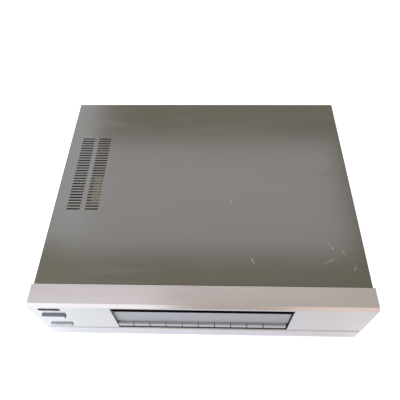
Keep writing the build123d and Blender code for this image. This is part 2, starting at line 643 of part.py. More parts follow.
# ================================================================ rear panel and its fittings
INLET = (-188.0, 56.0)
TERMINAL_X = (-160.0, -92.0)
TERMINAL_Z = (42.0, 72.0)
PHONO_X = -28.0
PHONO_Z = 56.0
PHONO_PITCH = 15.5
PHONO_COLUMNS = 5
PHONO_ROWS = 2
GROUND = (34.0, 52.0)
AERIAL_SOCKET = (62.0, 56.0)
with BuildPart() as rear_panel:
    block(around(0, 2 * PAN_HALF), (PANEL_IN, PANEL_OUT), (FLOOR, CASE_TOP - SHEET - 0.3))
    through = (PANEL_IN - 1, PANEL_OUT + 1)
    block(around(INLET[0], 20.4), through, around(INLET[1], 12.4), mode=Mode.SUBTRACT)
    with BuildSketch(Plane.XZ.offset(-PANEL_OUT)) as panel_holes:
        with Locations(REAR_LOW_SCREWS + REAR_HIGH_SCREWS):
            Circle(SCREW_HOLE_R)
        with Locations(GROUND):
            Circle(2.1)
        with Locations((-126.0, 92.0)):
            with GridLocations(7.0, 0, 11, 1):
                SlotOverall(18.0, 3.0, rotation=90)
    extrude(amount=PLATE * 2, mode=Mode.SUBTRACT)
keep(rear_panel, "rear_panel")

INLET_PITCH = 8.6
INLET_PIN_R = 1.2
INLET_FLANGE = 2.0
INLET_CAVITY = 12.0
inlet_floor = PANEL_OUT + 2.5
inlet_mouth = inlet_floor + INLET_CAVITY
with BuildPart() as mains_inlet:
    block(around(INLET[0], 32.0), (PANEL_OUT, PANEL_OUT + INLET_FLANGE), around(INLET[1], 20.0))
    fillet(mains_inlet.edges().filter_by(Axis.Y), 3.0)
    block(around(INLET[0], 20.0), (PANEL_IN - 9.0, PANEL_OUT), around(INLET[1], 12.0))
    with BuildSketch(Plane.XZ.offset(-inlet_mouth)) as shroud_shape:
        with Locations(INLET):
            SlotOverall(24.0, 15.0)
    extrude(amount=inlet_mouth - PANEL_OUT)
    with BuildSketch(Plane.XZ.offset(-inlet_mouth)) as cavity_shape:
        with Locations(INLET):
            SlotOverall(17.6, 9.0)
    extrude(amount=INLET_CAVITY, mode=Mode.SUBTRACT)
    for side in (-0.5, 0.5):
        pin_x = INLET[0] + side * INLET_PITCH
        rod("y", (pin_x, inlet_floor, INLET[1]), 8.0, INLET_PIN_R, mode=Mode.SUBTRACT)
keep(mains_inlet, "mains_inlet")

with BuildPart() as inlet_pins:
    for side in (-0.5, 0.5):
        pin_x = INLET[0] + side * INLET_PITCH
        rod("y", (pin_x, inlet_floor + 3.0, INLET[1]), 14.0, INLET_PIN_R)
    fillet(inlet_pins.faces().group_by(Axis.Y)[-1].edges(), 0.5)
keep(inlet_pins, "inlet_pins")

LEVER_COUNT = 4
LEVER_WIDTH = 12.0
LEVER_PITCH = 16.4
LEVER_PIVOT_Z = 66.0
BLOCK_DEPTH = 13.0
lever_y = (PANEL_OUT + 7.2, PANEL_OUT + 10.2)
lever_pivot_y = sum(lever_y) / 2
lever_centres = [
    sum(TERMINAL_X) / 2 + (index - (LEVER_COUNT - 1) / 2) * LEVER_PITCH
    for index in range(LEVER_COUNT)
]
with BuildPart() as terminal_block:
    block(TERMINAL_X, (PANEL_OUT, PANEL_OUT + BLOCK_DEPTH), TERMINAL_Z)
    fillet(terminal_block.edges().filter_by(Axis.Y), 1.5)
    for centre in lever_centres:
        block(
            around(centre, LEVER_WIDTH + 2 * FIT),
            (PANEL_OUT + 2.0, PANEL_OUT + BLOCK_DEPTH + 1),
            (50.0, 69.0),
            mode=Mode.SUBTRACT,
        )
        rod("y", (centre, PANEL_OUT + BLOCK_DEPTH, 46.5), 18.0, 1.6, mode=Mode.SUBTRACT)
        rod("x", (centre, lever_pivot_y, LEVER_PIVOT_Z), LEVER_WIDTH + 3.6, 1.06, mode=Mode.SUBTRACT)
keep(terminal_block, "terminal_block")


def make_lever(centre, name):
    """Sprung clamp lever: a plate with a finger ledge at its lower end and trunnions at its top."""
    with BuildPart() as lever:
        block(around(centre, LEVER_WIDTH), lever_y, (52.0, LEVER_PIVOT_Z + 1.5))
        block(around(centre, LEVER_WIDTH), (lever_y[1], lever_y[1] + 5.0), (52.0, 54.4))
        fillet(lever.edges().filter_by(Axis.Z).sort_by(Axis.Y)[-2:], 2.0)
        rod("x", (centre, lever_pivot_y, LEVER_PIVOT_Z), LEVER_WIDTH + 3.0, 1.0)
    keep(lever, name)


for number, centre in enumerate(lever_centres, start=1):
    make_lever(centre, f"lever_{number}")

phono_spots = [
    (PHONO_X + (column - (PHONO_COLUMNS - 1) / 2) * PHONO_PITCH, PHONO_Z + row * PHONO_PITCH / 2)
    for column in range(PHONO_COLUMNS)
    for row in (-1, 1)
]
PHONO_PLATE = 3.0
PHONO_LENGTH = 9.0
barrel_y = PANEL_OUT + PHONO_PLATE + PHONO_LENGTH / 2
with BuildPart() as phono_plate:
    block(
        around(PHONO_X, PHONO_COLUMNS * PHONO_PITCH + 6.0),
        (PANEL_OUT, PANEL_OUT + PHONO_PLATE),
        around(PHONO_Z, PHONO_ROWS * PHONO_PITCH + 4.0),
    )
    fillet(phono_plate.edges().filter_by(Axis.Y), 2.0)
keep(phono_plate, "phono_plate")

with BuildPart() as phono_barrels:
    for spot_x, spot_z in phono_spots:
        rod("y", (spot_x, PANEL_OUT + PHONO_PLATE + 0.5, spot_z), 1.0, 5.6)
        rod("y", (spot_x, barrel_y, spot_z), PHONO_LENGTH, 4.15)
        rod("y", (spot_x, barrel_y, spot_z), PHONO_LENGTH, 3.3, mode=Mode.SUBTRACT)
keep(phono_barrels, "phono_barrels")

with BuildPart() as phono_sleeves:
    for spot_x, spot_z in phono_spots:
        sleeve_y = PANEL_OUT + PHONO_PLATE + (PHONO_LENGTH - 0.5) / 2
        rod("y", (spot_x, sleeve_y, spot_z), PHONO_LENGTH - 0.5, 3.3)
        rod("y", (spot_x, sleeve_y + 1, spot_z), PHONO_LENGTH - 0.5, 1.7, mode=Mode.SUBTRACT)
keep(phono_sleeves, "phono_sleeves")

with BuildPart() as aerial_socket:
    socket_at = (AERIAL_SOCKET[0], AERIAL_SOCKET[1])
    with BuildSketch(Plane.XZ.offset(-(PANEL_OUT + 3.0))) as socket_hex:
        with Locations(socket_at):
            RegularPolygon(7.0, 6)
    extrude(amount=3.0)
    rod("y", (socket_at[0], PANEL_OUT + 8.0, socket_at[1]), 10.0, 4.7)
    rod("y", (socket_at[0], PANEL_OUT + 9.0, socket_at[1]), 10.0, 1.6, mode=Mode.SUBTRACT)
keep(aerial_socket, "aerial_socket")

STUD_R = 2.0
with BuildPart() as ground_post:
    rod("y", (GROUND[0], PANEL_OUT + 5.0, GROUND[1]), 18.0, STUD_R)
    rod("y", (GROUND[0], PANEL_OUT + 1.0, GROUND[1]), 2.0, 5.5)
keep(ground_post, "ground_post")

NUT_R = 5.5
NUT_FLUTES = 16
with BuildPart() as ground_nut:
    with BuildSketch(Plane.XZ.offset(-(PANEL_OUT + 8.0))) as nut_shape:
        with Locations(GROUND):
            Circle(NUT_R)
            with PolarLocations(NUT_R, NUT_FLUTES):
                Circle(0.5, mode=Mode.SUBTRACT)
            Circle(STUD_R + 0.06, mode=Mode.SUBTRACT)
    extrude(amount=5.7)
keep(ground_nut, "ground_nut")

# ================================================================ bar antenna on its bracket
BAR_HALF = 7.0
BAR_Z = (84.0, 98.0)
BAR_PIVOT = (188.0, Y_REAR + REAR_REACH - BAR_HALF)
BAR_LENGTH = 150.0
EAR = 3.4
ear_spans = ((BAR_Z[0] - FIT - EAR, BAR_Z[0] - FIT), (BAR_Z[1] + FIT, BAR_Z[1] + FIT + EAR))
PIVOT_R = 2.0
with BuildPart() as antenna_bracket:
    bracket_x = around(BAR_PIVOT[0], 12.0)
    block(bracket_x, (PANEL_OUT, PANEL_OUT + 2.4), (ear_spans[0][0], ear_spans[1][1]))
    for ear_z in ear_spans:
        block(bracket_x, (PANEL_OUT, BAR_PIVOT[1]), ear_z)
        rod("z", (*BAR_PIVOT, sum(ear_z) / 2), EAR, 6.0)
        rod("z", (*BAR_PIVOT, sum(ear_z) / 2), EAR + 1, PIVOT_R, mode=Mode.SUBTRACT)
keep(antenna_bracket, "antenna_bracket")

with BuildPart() as antenna_pin:
    pin_z = (ear_spans[0][0], ear_spans[1][1])
    rod("z", (*BAR_PIVOT, sum(pin_z) / 2), pin_z[1] - pin_z[0], PIVOT_R)
keep(antenna_pin, "antenna_pin")

with BuildPart() as bar_antenna:
    with BuildSketch(Plane.XY.offset(BAR_Z[0])) as bar_shape:
        with Locations((BAR_PIVOT[0] - BAR_LENGTH / 2, BAR_PIVOT[1])):
            SlotCenterToCenter(BAR_LENGTH, 2 * BAR_HALF)
    extrude(amount=BAR_Z[1] - BAR_Z[0])
    fillet(bar_antenna.edges().group_by(Axis.Z)[0], 1.5)
    fillet(bar_antenna.edges().group_by(Axis.Z)[-1], 1.5)
    rod("z", (*BAR_PIVOT, sum(BAR_Z) / 2), 20.0, PIVOT_R + 0.06, mode=Mode.SUBTRACT)
keep(bar_antenna, "bar_antenna")
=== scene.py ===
import json
import math
import random

import bmesh
import bpy
from mathutils import Matrix, Vector


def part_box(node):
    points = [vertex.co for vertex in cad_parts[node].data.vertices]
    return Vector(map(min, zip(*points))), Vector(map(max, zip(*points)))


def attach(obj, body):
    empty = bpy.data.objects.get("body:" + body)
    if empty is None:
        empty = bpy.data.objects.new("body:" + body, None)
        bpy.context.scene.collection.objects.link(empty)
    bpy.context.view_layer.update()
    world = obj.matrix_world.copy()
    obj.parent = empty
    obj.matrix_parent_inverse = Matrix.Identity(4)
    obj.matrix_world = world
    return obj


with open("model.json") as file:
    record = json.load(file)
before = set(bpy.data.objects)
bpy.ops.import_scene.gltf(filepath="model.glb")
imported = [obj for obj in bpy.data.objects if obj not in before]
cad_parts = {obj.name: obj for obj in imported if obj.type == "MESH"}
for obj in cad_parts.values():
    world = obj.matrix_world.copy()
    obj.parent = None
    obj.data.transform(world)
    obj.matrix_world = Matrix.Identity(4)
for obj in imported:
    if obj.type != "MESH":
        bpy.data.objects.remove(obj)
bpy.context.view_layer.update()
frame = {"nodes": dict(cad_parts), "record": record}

# Looks of a full-width stereo receiver, in metres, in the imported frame: +Z is up, the front faces -Y.
MM = 0.001
NARROW_KEYS = 9
LEVERS = 4
nodes = frame["nodes"]


# ---------------------------------------------------------------- shader building
MIX_FACTOR, MIX_COLOR_A, MIX_COLOR_B = 0, 6, 7  # colour sockets of Blender's Mix node
MIX_RESULT = 2


class Shader:
    """One procedural material: a Principled shader with small helpers for its node graph."""

    def __init__(self, name, color, metallic=0.0, roughness=0.5, **settings):
        self.material = bpy.data.materials.new(name)
        self.material.use_nodes = True
        self.tree = self.material.node_tree
        self.tree.nodes.clear()
        output = self.tree.nodes.new("ShaderNodeOutputMaterial")
        self.bsdf = self.tree.nodes.new("ShaderNodeBsdfPrincipled")
        self.link(self.bsdf.outputs["BSDF"], output.inputs["Surface"])
        self.bsdf.inputs["Base Color"].default_value = (*color, 1.0)
        self.bsdf.inputs["Metallic"].default_value = metallic
        self.bsdf.inputs["Roughness"].default_value = roughness
        for socket, value in settings.items():
            self.bsdf.inputs[socket.replace("_", " ")].default_value = value
        self.material.diffuse_color = (*color, 1.0)
        self.place = self.tree.nodes.new("ShaderNodeTexCoord").outputs["Object"]
        self.last_normal = None

    def link(self, output, socket):
        self.tree.links.new(output, socket)

    def feed(self, socket, value):
        """Give a socket a number, a colour or another node's output."""
        if isinstance(value, bpy.types.NodeSocket):
            self.link(value, socket)
        elif isinstance(value, (tuple, list)) and len(value) == 3 and socket.type == "RGBA":
            socket.default_value = (*value, 1.0)
        else:
            socket.default_value = value

    def math(self, operation, a, b=0.0, clamp=False):
        """One arithmetic step on numbers or outputs."""
        node = self.tree.nodes.new("ShaderNodeMath")
        node.operation = operation
        node.use_clamp = clamp
        self.feed(node.inputs[0], a)
        self.feed(node.inputs[1], b)
        return node.outputs[0]

    def scaled(self, operand, factor):
        """An output multiplied by a number."""
        return self.math("MULTIPLY", operand, factor)

    def stretched(self, scale):
        """Object coordinates in metres, scaled along each axis."""
        node = self.tree.nodes.new("ShaderNodeMapping")
        self.feed(node.inputs["Vector"], self.place)
        node.inputs["Scale"].default_value = scale
        return node.outputs["Vector"]

    def axis(self, name):
        """The X, Y or Z coordinate of the surface in metres."""
        node = self.tree.nodes.new("ShaderNodeSeparateXYZ")
        self.feed(node.inputs[0], self.place)
        return node.outputs[name]

    def noise(self, scale, detail=2.0, roughness=0.5, distortion=0.0):
        """Noise of about 0 to 1; scale is in cycles per metre, one number or one per axis."""
        if not isinstance(scale, (tuple, list)):
            scale = (scale, scale, scale)
        node = self.tree.nodes.new("ShaderNodeTexNoise")
        self.feed(node.inputs["Vector"], self.stretched(scale))
        node.inputs["Scale"].default_value = 1.0
        node.inputs["Detail"].default_value = detail
        node.inputs["Roughness"].default_value = roughness
        node.inputs["Distortion"].default_value = distortion
        return node.outputs["Fac"]

    def span(self, value, low, high, to_low=0.0, to_high=1.0):
        """Map low..high smoothly to to_low..to_high, clamped."""
        node = self.tree.nodes.new("ShaderNodeMapRange")
        node.interpolation_type = "SMOOTHSTEP"
        self.feed(node.inputs["Value"], value)
        for socket, number in (
            ("From Min", low), ("From Max", high), ("To Min", to_low), ("To Max", to_high)
        ):
            node.inputs[socket].default_value = number
        return node.outputs["Result"]

    def mix(self, factor, a, b):
        """Colour a where the factor is 0, colour b where it is 1."""
        node = self.tree.nodes.new("ShaderNodeMix")
        node.data_type = "RGBA"
        self.feed(node.inputs[MIX_FACTOR], factor)
        self.feed(node.inputs[MIX_COLOR_A], a)
        self.feed(node.inputs[MIX_COLOR_B], b)
        return node.outputs[MIX_RESULT]

    def rounded(self, radius):
        """Soften hard edges in the shading by this radius, in metres."""
        node = self.tree.nodes.new("ShaderNodeBevel")
        node.samples = 4
        node.inputs["Radius"].default_value = radius
        self.last_normal = node.outputs["Normal"]

    def bump(self, height, distance, strength=1.0):
        """Fine relief, laid over any relief or rounding that came before."""
        node = self.tree.nodes.new("ShaderNodeBump")
        node.inputs["Distance"].default_value = distance
        node.inputs["Strength"].default_value = strength
        self.feed(node.inputs["Height"], height)
        if self.last_normal is not None:
            self.link(self.last_normal, node.inputs["Normal"])
        self.last_normal = node.outputs["Normal"]

    def color(self, value):
        self.feed(self.bsdf.inputs["Base Color"], value)

    def roughness(self, value):
        self.feed(self.bsdf.inputs["Roughness"], value)

    def done(self):
        if self.last_normal is not None:
            self.link(self.last_normal, self.bsdf.inputs["Normal"])
        return self.material


def shade(color, factor):
    """A colour made lighter or darker."""
    return tuple(channel * factor for channel in color)


# ---------------------------------------------------------------- materials
COVER_TONE = (0.048, 0.043, 0.029)
SCUFF_TONE = (0.42, 0.42, 0.43)
# Painted shade: black for the shaded right-hand flank of the buttons.
SHADED_FLANK_BLACK = (0.004, 0.004, 0.004)
# Painted light: lighter grey for the lit left wall of the window liner.
LIT_WALL_GREY = (0.16, 0.16, 0.17)
SCUFFS = (
    # x, distance behind the cover's front edge, half length and half width in metres, turn in degrees
    (0.187, 0.048, 0.007, 0.0018, 105.0),
    (0.172, 0.057, 0.009, 0.0024, 125.0),
    (0.167, 0.036, 0.014, 0.0014, 24.0),
    (0.198, 0.026, 0.007, 0.0026, 70.0),
    (0.041, 0.132, 0.007, 0.0018, 80.0),
    (0.067, 0.034, 0.007, 0.0014, -60.0),
)


def scuff_mask(paint, front):
    """Where the paint is scraped: short broken scratches inside a few small ellipses."""
    scratch = paint.span(paint.noise((900.0, 320.0, 500.0), detail=3.0), 0.5, 0.62)
    scuffs_and_lit_wall = 0.0
    for x, behind, half_long, half_wide, turn in SCUFFS:
        cos_turn = math.cos(math.radians(turn))
        sin_turn = math.sin(math.radians(turn))
        across = paint.math("SUBTRACT", paint.axis("X"), x)
        along = paint.math("SUBTRACT", paint.axis("Y"), front + behind)
        lengthwise = paint.math("ADD", paint.scaled(across, cos_turn), paint.scaled(along, sin_turn))
        crosswise = paint.math("SUBTRACT", paint.scaled(along, cos_turn), paint.scaled(across, sin_turn))
        u = paint.math("DIVIDE", lengthwise, half_long)
        v = paint.math("DIVIDE", crosswise, half_wide)
        far = paint.math("ADD", paint.math("MULTIPLY", u, u), paint.math("MULTIPLY", v, v))
        scuffs_and_lit_wall = paint.math("ADD", scuffs_and_lit_wall, paint.span(far, 1.0, 0.0))
    return paint.math("MULTIPLY", scuffs_and_lit_wall, scratch, clamp=True)


def edge_shade_mask(paint, high):
    """Painted shade: a thin dark line along the side and rear edges of the cover, where the sheet turns
    down.
    """
    side_gap = paint.math("SUBTRACT", high.x, paint.math("ABSOLUTE", paint.axis("X")))
    rear_gap = paint.math("SUBTRACT", high.y, paint.axis("Y"))
    nearest = paint.math("MINIMUM", side_gap, rear_gap)
    return paint.span(nearest, 0.8 * MM, 2.2 * MM, 1.0, 0.0)


def make_cover_paint():
    """Satin grey-brown enamel on sheet steel: fine grain, faint smears, scuffs, and thin edges darkened
    as painted shade.
    """
    low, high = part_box("top_cover")
    paint = Shader("cover_paint", COVER_TONE, roughness=0.15, Specular_IOR_Level=0.9)
    clouds = paint.noise((5.0, 7.0, 7.0), detail=3.0)
    smear = paint.span(paint.noise((9.0, 60.0, 60.0), detail=4.0, distortion=0.4), 0.52, 0.8)
    grain = paint.noise(2200.0, detail=2.0)
    tone = paint.mix(paint.span(clouds, 0.3, 0.7), shade(COVER_TONE, 0.93), shade(COVER_TONE, 1.07))
    tone = paint.mix(paint.scaled(smear, 0.18), tone, shade(COVER_TONE, 1.5))
    tone = paint.mix(paint.span(grain, 0.35, 0.75, 0.0, 0.16), tone, shade(COVER_TONE, 1.7))
    # Painted shade: the side and rear edges are darkened where the sheet turns down.
    tone = paint.mix(paint.scaled(edge_shade_mask(paint, high), 0.75), tone, shade(COVER_TONE, 0.25))
    tone = paint.mix(paint.scaled(scuff_mask(paint, low.y), 0.6), tone, SCUFF_TONE)
    paint.color(tone)
    gloss = paint.span(clouds, 0.2, 0.8, 0.14, 0.17)
    paint.roughness(paint.math("ADD", gloss, paint.scaled(smear, 0.06)))
    paint.rounded(0.5 * MM)
    paint.bump(grain, 0.03 * MM, 0.25)
    return paint.done()


def brushed_metal(name, color, roughness, line_depth, tone_spread=0.03, edge=0.35, metallic=1.0):
    """Aluminium brushed along X and anodised; the depth of lines and rounding of edges are in mm."""
    metal = Shader(name, color, metallic=metallic, roughness=roughness)
    lines = metal.noise((12.0, 2600.0, 2600.0), detail=4.0, roughness=0.7)
    coarse = metal.noise((4.0, 500.0, 500.0), detail=3.0)
    streaks = metal.math("ADD", metal.scaled(lines, 0.65), metal.scaled(coarse, 0.35))
    dark = shade(color, 1.0 - tone_spread)
    light = shade(color, 1.0 + tone_spread * 0.6)
    metal.color(metal.mix(metal.span(streaks, 0.3, 0.7), dark, light))
    metal.roughness(metal.span(streaks, 0.25, 0.75, roughness - 0.05, roughness + 0.08))
    metal.rounded(edge * MM)
    metal.bump(lines, line_depth * MM, 0.5)
    return metal.done()


def moulded_plastic(name, color, roughness, grain_depth=0.03, gloss_band=0.06, specular=0.5):
    """Moulded plastic: fine spark-eroded grain, slight tone and gloss variation, soft edges."""
    plastic = Shader(name, color, roughness=roughness, Specular_IOR_Level=specular)
    grain = plastic.noise(1700.0, detail=3.0, roughness=0.6)
    haze = plastic.noise(28.0, detail=3.0)
    plastic.color(plastic.mix(plastic.span(haze, 0.3, 0.7), shade(color, 0.85), shade(color, 1.2)))
    plastic.roughness(plastic.span(haze, 0.3, 0.7, roughness - gloss_band, roughness + gloss_band))
    plastic.rounded(0.25 * MM)
    plastic.bump(grain, grain_depth * MM, 0.6)
    return plastic.done()


def plated_metal(name, color, roughness, spangle=0.12):
    """Plated sheet or turned metal: cloudy spangle in tone and gloss."""
    metal = Shader(name, color, metallic=1.0, roughness=roughness)
    cloud = metal.noise(120.0, detail=4.0, roughness=0.65)
    fine = metal.noise(1500.0, detail=2.0)
    metal.color(metal.mix(metal.span(cloud, 0.3, 0.7), shade(color, 1.0 - spangle), color))
    metal.roughness(metal.span(cloud, 0.3, 0.7, roughness - 0.06, roughness + 0.1))
    metal.rounded(0.2 * MM)
    metal.bump(fine, 0.02 * MM, 0.4)
    return metal.done()


def make_button_plastic(name, piece, shaded_width, tone):
    """Grey button whose right-hand flank, of the given width, is painted black: painted shade for the
    side in shadow.
    """
    button = Shader(name, tone, roughness=0.5, Specular_IOR_Level=0.12)
    haze = button.noise(60.0, detail=3.0)
    grey = button.mix(button.span(haze, 0.3, 0.7), shade(tone, 0.88), shade(tone, 1.12))
    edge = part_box(piece)[1].x - shaded_width
    fade = 0.1 * MM
    # Painted shade: the right-hand flank is coloured black where it lies in shadow.
    shaded_flank = button.span(button.axis("X"), edge - fade, edge + fade)
    button.color(button.mix(shaded_flank, grey, SHADED_FLANK_BLACK))
    button.roughness(button.span(haze, 0.3, 0.7, 0.45, 0.6))
    button.rounded(0.2 * MM)
    button.bump(button.noise(1500.0, detail=2.0), 0.02 * MM, 0.4)
    return button.done()


def make_liner_plastic():
    """Black window liner whose left wall is painted a lighter grey: painted light on the lit wall."""
    liner = Shader("liner_plastic", (0.008, 0.007, 0.007), roughness=0.55, Specular_IOR_Level=0.2)
    haze = liner.noise(80.0, detail=3.0)
    black = liner.mix(haze, (0.004, 0.003, 0.004), (0.010, 0.009, 0.010))
    wall_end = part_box("inner_panel")[0].x + 1.0 * MM
    fade = 0.2 * MM
    # Painted light: the left wall is coloured lighter grey where the light falls on it.
    scuffs_and_lit_wall = liner.span(liner.axis("X"), wall_end - fade, wall_end + fade, 1.0, 0.0)
    liner.color(liner.mix(scuffs_and_lit_wall, black, LIT_WALL_GREY))
    liner.roughness(liner.span(haze, 0.3, 0.7, 0.5, 0.65))
    liner.bump(liner.noise(1700.0, detail=2.0), 0.02 * MM, 0.4)
    return liner.done()


def make_lens():
    """Polished smoked acrylic with the faintest haze and hairline scratches."""
    lens = Shader("smoked_lens", (0.002, 0.001, 0.002), roughness=0.08, IOR=1.02, Specular_IOR_Level=0.1)
    hairs = lens.span(lens.noise((30.0, 900.0, 900.0), detail=4.0, distortion=1.0), 0.62, 0.75)
    lens.roughness(lens.math("ADD", lens.scaled(hairs, 0.12), 0.07))
    lens.rounded(0.3 * MM)
    return lens.done()


def make_laminations():
    """Varnished stack of steel sheets, layered upwards."""
    sheet = 0.9 * MM
    core = Shader("core_steel", (0.02, 0.018, 0.016), metallic=0.2, roughness=0.55)
    wave = core.math("SINE", core.scaled(core.axis("Z"), 2 * math.pi / sheet))
    varnish = core.noise(60.0, detail=4.0)
    core.color(core.mix(core.span(varnish, 0.35, 0.7), (0.012, 0.011, 0.010), (0.03, 0.027, 0.024)))
    core.roughness(core.span(varnish, 0.3, 0.7, 0.4, 0.6))
    core.bump(wave, 0.15 * MM, 0.6)
    return core.done()


def make_coil_tape():
    """Tan insulating tape wound round the coil, one turn overlapping the next."""
    tape_width = 9.0 * MM
    tape = Shader("coil_tape", (0.55, 0.36, 0.12), roughness=0.45)
    turns = tape.math("FRACT", tape.scaled(tape.axis("X"), 1 / tape_width))
    lap = tape.span(turns, 0.0, 0.08)
    crinkle = tape.noise((200.0, 200.0, 900.0), detail=3.0)
    warm = tape.mix(tape.span(crinkle, 0.3, 0.7), (0.74, 0.55, 0.26), (0.88, 0.71, 0.4))
    tape.color(tape.mix(lap, (0.28, 0.17, 0.05), warm))
    tape.bump(turns, 0.12 * MM, 0.7)
    tape.bump(crinkle, 0.1 * MM, 0.4)
    return tape.done()


def make_board():
    """Tan phenolic circuit board with a faint paper weave."""
    board = Shader("board_phenolic", (0.42, 0.26, 0.1), roughness=0.4)
    weave = board.noise((700.0, 250.0, 700.0), detail=3.0)
    board.color(board.mix(board.span(weave, 0.3, 0.7), (0.33, 0.19, 0.065), (0.5, 0.33, 0.14)))
    board.bump(weave, 0.03 * MM, 0.5)
    return board.done()


def make_sleeve_plastic():
    """Insulators of the phono sockets: white in the upper row, red in the lower one."""
    low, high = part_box("phono_sleeves")
    sleeve = Shader("socket_white", (0.7, 0.69, 0.65), roughness=0.35)
    middle = (low.z + high.z) / 2
    upper = sleeve.span(sleeve.axis("Z"), middle - MM, middle + MM)
    fine = sleeve.noise(400.0, detail=2.0)
    red = sleeve.mix(fine, (0.42, 0.02, 0.015), (0.5, 0.03, 0.02))
    white = sleeve.mix(fine, (0.68, 0.67, 0.62), (0.76, 0.75, 0.71))
    sleeve.color(sleeve.mix(upper, red, white))
    sleeve.bump(fine, 0.02 * MM, 0.4)
    return sleeve.done()


def make_tube_glass():
    """Sealed glass of the display tube, dark with a blue-green phosphor cast."""
    cell_pitch = 11.0 * MM
    glass = Shader("display_glass", (0.05, 0.09, 0.08), roughness=0.1)
    cells = glass.span(glass.math("FRACT", glass.scaled(glass.axis("X"), 1 / cell_pitch)), 0.2, 0.3)
    glass.color(glass.mix(cells, (0.02, 0.03, 0.03), (0.08, 0.13, 0.12)))
    return glass.done()


MATERIALS = {
    "cover_paint": make_cover_paint(),
    "fascia_aluminium": brushed_metal("fascia_aluminium", (0.445, 0.424, 0.442), 0.2, 0.004),
    "panel_aluminium": brushed_metal("panel_aluminium", (0.27, 0.262, 0.295), 0.55, 0.008, metallic=0.3),
    "key_metal": brushed_metal("key_metal", (0.30, 0.295, 0.305), 0.4, 0.006, edge=0.3, metallic=0.45),
    "black_plastic": moulded_plastic("black_plastic", (0.008, 0.007, 0.007), 0.5, specular=0.2),
    "smoked_lens": make_lens(),
    "zinc_steel": plated_metal("zinc_steel", (0.6, 0.59, 0.55), 0.35),
    "rear_paint": moulded_plastic("rear_paint", (0.035, 0.035, 0.036), 0.5, grain_depth=0.05),
    "screw_steel": plated_metal("screw_steel", (0.09, 0.09, 0.09), 0.38, spangle=0.3),
    "foot_plastic": moulded_plastic("foot_plastic", (0.014, 0.014, 0.014), 0.6),
    "core_steel": make_laminations(),
    "coil_tape": make_coil_tape(),
    "sink_aluminium": brushed_metal("sink_aluminium", (0.06, 0.06, 0.065), 0.5, 0.03),
    "board_phenolic": make_board(),
    "component_plastic": moulded_plastic("component_plastic", (0.02, 0.025, 0.04), 0.35),
    "display_glass": make_tube_glass(),
    "contact_brass": plated_metal("contact_brass", (0.72, 0.66, 0.5), 0.25),
    "plated_steel": plated_metal("plated_steel", (0.72, 0.71, 0.69), 0.22),
    "red_plastic": moulded_plastic("red_plastic", (0.36, 0.02, 0.014), 0.4),
    "socket_white": make_sleeve_plastic(),
}
# Pieces whose finish differs from the others in their slot.
SPECIAL = {
    "transformer_strap": plated_metal("strap_steel", (0.07, 0.068, 0.065), 0.45),
    "window_liner": make_liner_plastic(),
    "power_button": make_button_plastic("power_slate", "power_button", 1.2 * MM, (0.155, 0.165, 0.19)),
    "slim_button": make_button_plastic("slim_slate", "slim_button", 0.2 * MM, (0.34, 0.34, 0.37)),
}
PRINT_DARK = moulded_plastic("print_dark", (0.010, 0.006, 0.007), 0.5, specular=0.1)
PRINT_GREY = moulded_plastic("print_grey", (0.2, 0.2, 0.21), 0.5)
PRINT_WHITE = moulded_plastic("print_white", (0.6, 0.6, 0.58), 0.55)


def dress_nodes():
    """Give every CAD node the finish of its slot in the record."""
    slot_of = {row["node"]: row["material_slot"] for row in frame["record"]["subparts"]}
    for name, node in nodes.items():
        node.data.materials.clear()
        node.data.materials.append(SPECIAL.get(name, MATERIALS[slot_of[name]]))


# ---------------------------------------------------------------- printed and fitted details
def plates(name, boxes, material, body, bevel=0.04):
    """Thin raised marks as one mesh: each box is (lowest corner, highest corner) in metres."""
    mesh = bmesh.new()
    for low, high in boxes:
        made = bmesh.ops.create_cube(mesh, size=1.0)
        size = [top - bottom for bottom, top in zip(low, high)]
        centre = [(top + bottom) / 2 for bottom, top in zip(low, high)]
        bmesh.ops.scale(mesh, vec=size, verts=made["verts"])
        bmesh.ops.translate(mesh, vec=centre, verts=made["verts"])
    bmesh.ops.bevel(mesh, geom=mesh.edges[:], offset=bevel * MM, segments=1, affect="EDGES", profile=0.5)
    data = bpy.data.meshes.new(name)
    mesh.to_mesh(data)
    mesh.free()
    data.materials.append(material)
    piece = bpy.data.objects.new(name, data)
    bpy.context.scene.collection.objects.link(piece)
    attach(piece, body)


BADGE_HEIGHTS_MM = (5.2, 7.4, 6.2, 7.4, 5.0, 7.4, 6.0, 7.4, 6.4, 5.4)
BADGE_PITCH = 2.83 * MM
BADGE_BAR = 2.45 * MM
BADGE_FROM_LEFT = 11.4 * MM
BADGE_FROM_TOP = 12.6 * MM
BADGE_RAISED = 0.25 * MM
BADGE_BURIED = 0.05 * MM


def add_badge():
    """A generic mark of upright bars at the upper left of the face."""
    low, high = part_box("front_fascia")
    middle = high.z - BADGE_FROM_TOP
    near, far = low.y - BADGE_RAISED, low.y + BADGE_BURIED
    boxes = []
    for index, tall in enumerate(BADGE_HEIGHTS_MM):
        x = low.x + BADGE_FROM_LEFT + index * BADGE_PITCH
        half = tall / 2 * MM
        boxes.append(((x, near, middle - half), (x + BADGE_BAR, far, middle + half)))
    plates("badge", boxes, PRINT_DARK, "chassis")


LEGEND_SEED = 7
DASH_WIDTHS_MM = (1.6, 2.4, 3.0, 1.2, 2.0)
DASH_GAP_MM = 0.9
DASHES_PER_KEY = 4
DASHES_BEFORE_MIDDLE = 6.5 * MM
DASH_FROM_FRONT = (1.0 * MM, 2.4 * MM)
DASH_BURIED = 0.02 * MM
DASH_RAISED = 0.04 * MM


